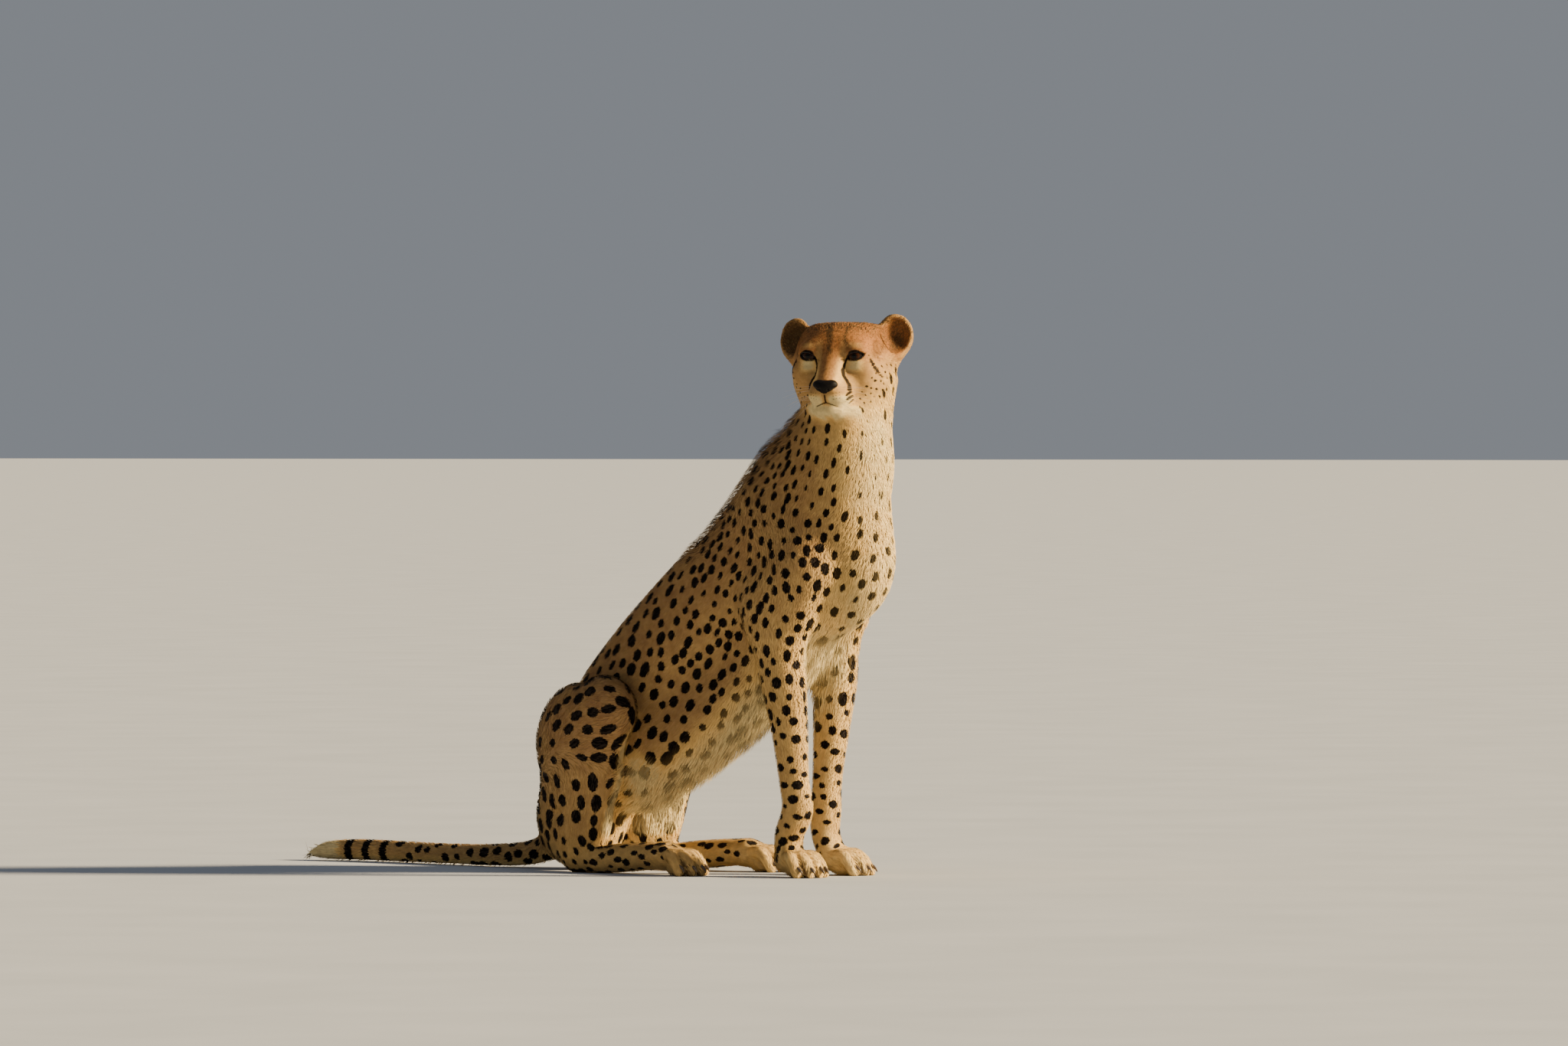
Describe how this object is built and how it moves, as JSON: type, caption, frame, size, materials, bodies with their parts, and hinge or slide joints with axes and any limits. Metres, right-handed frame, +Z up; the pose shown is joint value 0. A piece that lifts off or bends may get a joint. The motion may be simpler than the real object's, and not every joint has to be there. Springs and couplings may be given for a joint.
{
  "type": "cheetah figure",
  "caption": "Life-size cheetah sitting upright, forelegs straight, head turned to its right, tail laid back along the floor.",
  "frame": {"origin": "on the floor, under the middle of the whole model's box", "axes": "-Y the way the body faces, +X its left side, +Z up"},
  "size_m": [0.352, 1.3936, 1.0188],
  "materials": {
    "coat": "short golden tawny hair with solid round black spots",
    "neck_coat": "tawny hair with small spots, a scruffy crest on the nape",
    "belly_coat": "tawny hair with black spots, long and white underneath",
    "ringed_coat": "tawny hair with black rings",
    "white_coat": "long white hair",
    "eyes": "dark brown, glossy as a glass eye",
    "nose_pad": "black, slightly moist",
    "pale_coat": "short pale hair with small black spots and bars",
    "paw_coat": "short cream hair, horn claws"
  },
  "bodies": {
    "root": {"head": "coat", "neck": "neck_coat", "chest": "coat", "belly": "belly_coat", "rump": "coat", "tail_root": "coat", "tail_middle": "coat", "tail_rings": "ringed_coat", "tail_tip": "white_coat", "ear_left": "coat", "ear_right": "coat", "eye_left": "eyes", "eye_right": "eyes", "nose": "nose_pad", "upper_arm_left": "coat", "upper_arm_right": "coat", "forearm_left": "pale_coat", "forearm_right": "pale_coat", "forepaw_left": "paw_coat", "forepaw_right": "paw_coat", "thigh_left": "coat", "thigh_right": "coat", "shank_left": "coat", "shank_right": "coat", "hindfoot_left": "coat", "hindfoot_right": "coat", "hindpaw_left": "paw_coat", "hindpaw_right": "paw_coat"}
  },
  "joints": []
}
